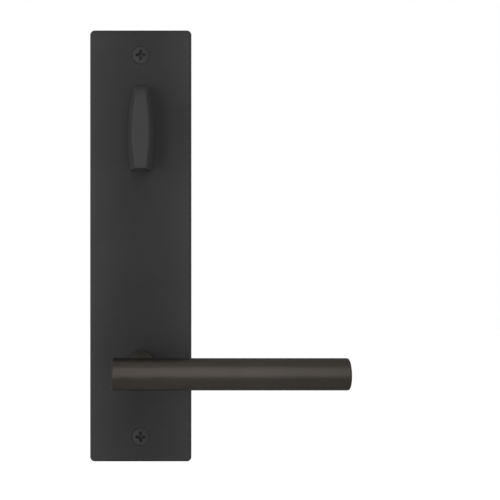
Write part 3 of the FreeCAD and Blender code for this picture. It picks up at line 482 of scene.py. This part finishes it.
class DOORLEVER_OT_coat_black(bpy.types.Operator):
    """Gives the plate and the turn their satin black coat"""

    bl_idname = "doorlever.coat_black"
    bl_label = "Coat plate and turn"

    def execute(self, context):
        settings = context.scene.doorlever_finish
        # The plate's coat has painted light along its long edges, and the turn's has none
        plate = sprayed_coat("plate_satin_black", settings.plate_black, settings, settings.painted_edge_light)
        turn = sprayed_coat("turn_satin_black", settings.turn_black, settings)
        dress(plate, "backplate")
        dress(turn, "turn_knob")
        return {"FINISHED"}


class DOORLEVER_OT_finish_lever(bpy.types.Operator):
    """Gives the bar its dark bronze, and the neck a paler copy of it as painted light on the shaded neck"""

    bl_idname = "doorlever.finish_lever"
    bl_label = "Finish lever"

    def execute(self, context):
        settings = context.scene.doorlever_finish
        dress(dark_bronze("lever_dark_bronze", settings.bronze, settings), "lever_bar")
        # The neck's paler bronze is painted light on a part that the bar shades
        dress(dark_bronze("neck_dark_bronze", settings.neck_bronze_painted_light, settings), "lever_neck")
        return {"FINISHED"}


class DOORLEVER_OT_finish_works(bpy.types.Operator):
    """Gives the works behind the plate their steel and nylon"""

    bl_idname = "doorlever.finish_works"
    bl_label = "Finish works"

    def execute(self, context):
        settings = context.scene.doorlever_finish
        drawn = bare_steel("spindle_zinc", settings.zinc, roughness=0.34, stretch=(1.0, 80.0, 1.0))
        pressed = bare_steel("pressed_zinc", settings.zinc, roughness=0.38, stretch=(30.0, 1.0, 1.0))
        black = bare_steel("blackened_steel", settings.blackened, roughness=0.36)
        spring = bare_steel("spring_steel", settings.spring, roughness=0.3, stretch=(4.0, 4.0, 1.0))
        nylon = moulded_nylon("black_nylon", settings.nylon)
        dress(drawn, "lever_spindle", "turn_spindle")
        dress(pressed, "spring_cover", "lever_follower", "detent_cam")
        dress(black, "lever_circlip", "turn_circlip", "lever_grub_screw", "bar_screw", "turn_pin")
        dress(spring, "return_spring", "detent_spring")
        dress(nylon, "lever_bush", "turn_bush", "lever_washer", "turn_washer")
        return {"FINISHED"}


class DOORLEVER_OT_fixing_screws(bpy.types.Operator):
    """Draws the two fixing screws with their cross recess and thread"""

    bl_idname = "doorlever.fixing_screws"
    bl_label = "Draw fixing screws"

    def execute(self, context):
        settings = context.scene.doorlever_finish
        coat = sprayed_coat("screw_satin_black", settings.screw_black, settings)
        rings = screw_rings(context.scene.doorlever_fixing)
        for node in ("fixing_screw_top", "fixing_screw_bottom"):
            low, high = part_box(node)
            place = Vector(((low.x + high.x) / 2, PLATE_FRONT, (low.z + high.z) / 2))
            screw = surface(f"{node}_threaded", set_along_y(rings, place, 1), coat)
            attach(screw, "plate")
            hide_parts(node)
        return {"FINISHED"}


class DOORLEVER_OT_cover_screws(bpy.types.Operator):
    """Draws the four small screws of the spring cover"""

    bl_idname = "doorlever.cover_screws"
    bl_label = "Draw cover screws"

    def execute(self, context):
        zinc = bare_steel("screw_zinc", context.scene.doorlever_finish.zinc, roughness=0.3)
        rings = screw_rings(context.scene.doorlever_cover)
        for node in COVER_SCREWS:
            low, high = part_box(node)
            place = Vector(((low.x + high.x) / 2, high.y, (low.z + high.z) / 2))
            screw = surface(f"{node}_threaded", set_along_y(rings, place, -1), zinc)
            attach(screw, "plate")
            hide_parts(node)
        return {"FINISHED"}


def lamp(name, aim, power):
    """A soft box on a sphere about its aim, turned to it."""
    place = LAMPS[name]
    across, up = math.radians(place.across), math.radians(place.up)
    outwards = Vector((math.sin(across) * math.cos(up), -math.cos(across) * math.cos(up), math.sin(up)))
    light = bpy.data.lights.new(name, "AREA")
    light.shape = "RECTANGLE"
    light.size, light.size_y = place.width, place.height
    light.energy = power
    holder = bpy.data.objects.new(name, light)
    holder.location = Vector(aim) + place.away * outwards
    holder.rotation_euler = outwards.to_track_quat("Z", "Y").to_euler()
    bpy.context.scene.collection.objects.link(holder)


def fade(tree, depth, front, back):
    """A strength that turns smoothly from front to back as depth goes through the object."""
    return add(
        tree, "ShaderNodeMapRange", {"interpolation_type": "SMOOTHSTEP"},
        Value=depth, From_Min=-FADE_DEPTH, From_Max=FADE_DEPTH, To_Min=front, To_Max=back,
    ).outputs[0]


def backdrop(tree, depth, lit, white, mirrored_front):
    """Strength of a backdrop: white to the camera and through clear things, and lit otherwise.

    In mirrors it is white behind the object, where the camera sees it, and mirrored_front before it.
    """
    path = add(tree, "ShaderNodeLightPath").outputs
    mirrored = fade(tree, depth, mirrored_front, white)
    unseen = add(
        tree, "ShaderNodeMapRange", Value=path["Is Glossy Ray"], To_Min=lit, To_Max=mirrored
    ).outputs[0]
    seen = add(
        tree, "ShaderNodeMath", {"operation": "MAXIMUM"},
        _0=path["Is Camera Ray"], _1=path["Is Transmission Ray"],
    ).outputs[0]
    return add(tree, "ShaderNodeMapRange", Value=seen, To_Min=unseen, To_Max=white).outputs[0]


def pale_room(studio):
    """A white world whose own light on the object is dim, and comes more from behind than from in front."""
    world = bpy.data.worlds.new("pale_room")
    world.use_nodes = True
    tree = world.node_tree
    background = next(node for node in tree.nodes if node.type == "BACKGROUND")
    way = add(tree, "ShaderNodeTexCoord").outputs["Generated"]
    depth = add(tree, "ShaderNodeSeparateXYZ", Vector=way).outputs["Y"]
    dim = fade(tree, depth, studio.front_room, studio.back_room)
    finish(tree, background, Color=WHITE, Strength=backdrop(tree, depth, dim, 1.0, studio.mirrored_room))
    return world


def pale_floor(studio):
    """A round floor, white to the camera, that keeps the object's shadow and casts no light of its own."""
    angle = np.linspace(0.0, WHOLE_TURN, studio.floor_corners, endpoint=False)
    rim = ring(angle, studio.floor_radius, PLATE[0].z - studio.floor_drop)
    mesh = bpy.data.meshes.new("studio_floor")
    mesh.from_pydata(rim.tolist(), [], [list(range(len(rim)))])
    material, tree, shader, place = plain_material("studio_floor_white")
    depth = add(tree, "ShaderNodeSeparateXYZ", Vector=place).outputs["Y"]
    finish(
        tree,
        shader,
        Base_Color=(*studio.floor_colour, 1.0),
        Roughness=0.9,
        Emission_Color=WHITE,
        Emission_Strength=backdrop(tree, depth, 0.0, studio.floor_glow, studio.mirrored_floor),
    )
    mesh.materials.append(material)
    floor = bpy.data.objects.new("studio_floor", mesh)
    bpy.context.scene.collection.objects.link(floor)


def camera(studio, height):
    """A level camera in front of the plate, shifted so that the plate stands in its column of the picture."""
    eye = bpy.data.cameras.new("eye")
    eye.sensor_width = 36.0
    eye.lens = eye.sensor_width * studio.focal
    eye.shift_x = 0.5 - studio.plate_column
    eye.clip_start = 0.01
    holder = bpy.data.objects.new("eye", eye)
    holder.location = (0.0, PLATE_FRONT - studio.eye_distance, height)
    holder.rotation_euler = (math.pi / 2, 0.0, 0.0)
    bpy.context.scene.collection.objects.link(holder)
    return holder


class DOORLEVER_OT_studio(bpy.types.Operator):
    """Sets up the floor, the lamps, the room and the camera"""

    bl_idname = "doorlever.studio"
    bl_label = "Set up studio"

    def execute(self, context):
        studio = context.scene.doorlever_studio
        middle = (PLATE[0].z + PLATE[1].z) / 2
        pale_floor(studio)
        context.scene.world = pale_room(studio)
        for name in LAMPS:
            lamp(name, (0.0, PLATE_FRONT, middle), getattr(studio, name))
        context.scene.camera = camera(studio, middle - studio.eye_drop)
        context.scene.view_settings.view_transform = "Standard"
        return {"FINISHED"}


class DOORLEVER_PT_sidebar(bpy.types.Panel):
    """Lists the steps in the sidebar"""

    bl_idname = "DOORLEVER_PT_sidebar"
    bl_label = "Door lever"
    bl_space_type = "VIEW_3D"
    bl_region_type = "UI"
    bl_category = "Door lever"

    def draw(self, context):
        for step in STEPS:
            self.layout.operator(step.bl_idname)
        for name in SETTINGS:
            settings = getattr(context.scene, name)
            box = self.layout.box()
            for key in settings.__annotations__:
                box.prop(settings, key)


STEPS = (
    DOORLEVER_OT_coat_black,
    DOORLEVER_OT_finish_lever,
    DOORLEVER_OT_finish_works,
    DOORLEVER_OT_fixing_screws,
    DOORLEVER_OT_cover_screws,
    DOORLEVER_OT_studio,
)
SETTINGS = {
    "doorlever_fixing": FixingScrewSizes,
    "doorlever_cover": CoverScrewSizes,
    "doorlever_finish": FinishSettings,
    "doorlever_studio": StudioSettings,
}


def register():
    for name, group in SETTINGS.items():
        bpy.utils.register_class(group)
        setattr(bpy.types.Scene, name, PointerProperty(type=group))
    for step in STEPS:
        bpy.utils.register_class(step)
    bpy.utils.register_class(DOORLEVER_PT_sidebar)


def unregister():
    bpy.utils.unregister_class(DOORLEVER_PT_sidebar)
    for step in reversed(STEPS):
        bpy.utils.unregister_class(step)
    for name, group in reversed(SETTINGS.items()):
        delattr(bpy.types.Scene, name)
        bpy.utils.unregister_class(group)


def main():
    """Runs every step in order."""
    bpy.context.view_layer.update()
    register()
    bpy.ops.doorlever.coat_black()
    bpy.ops.doorlever.finish_lever()
    bpy.ops.doorlever.finish_works()
    bpy.ops.doorlever.fixing_screws()
    bpy.ops.doorlever.cover_screws()
    bpy.ops.doorlever.studio()


if __name__ == "__main__":
    main()
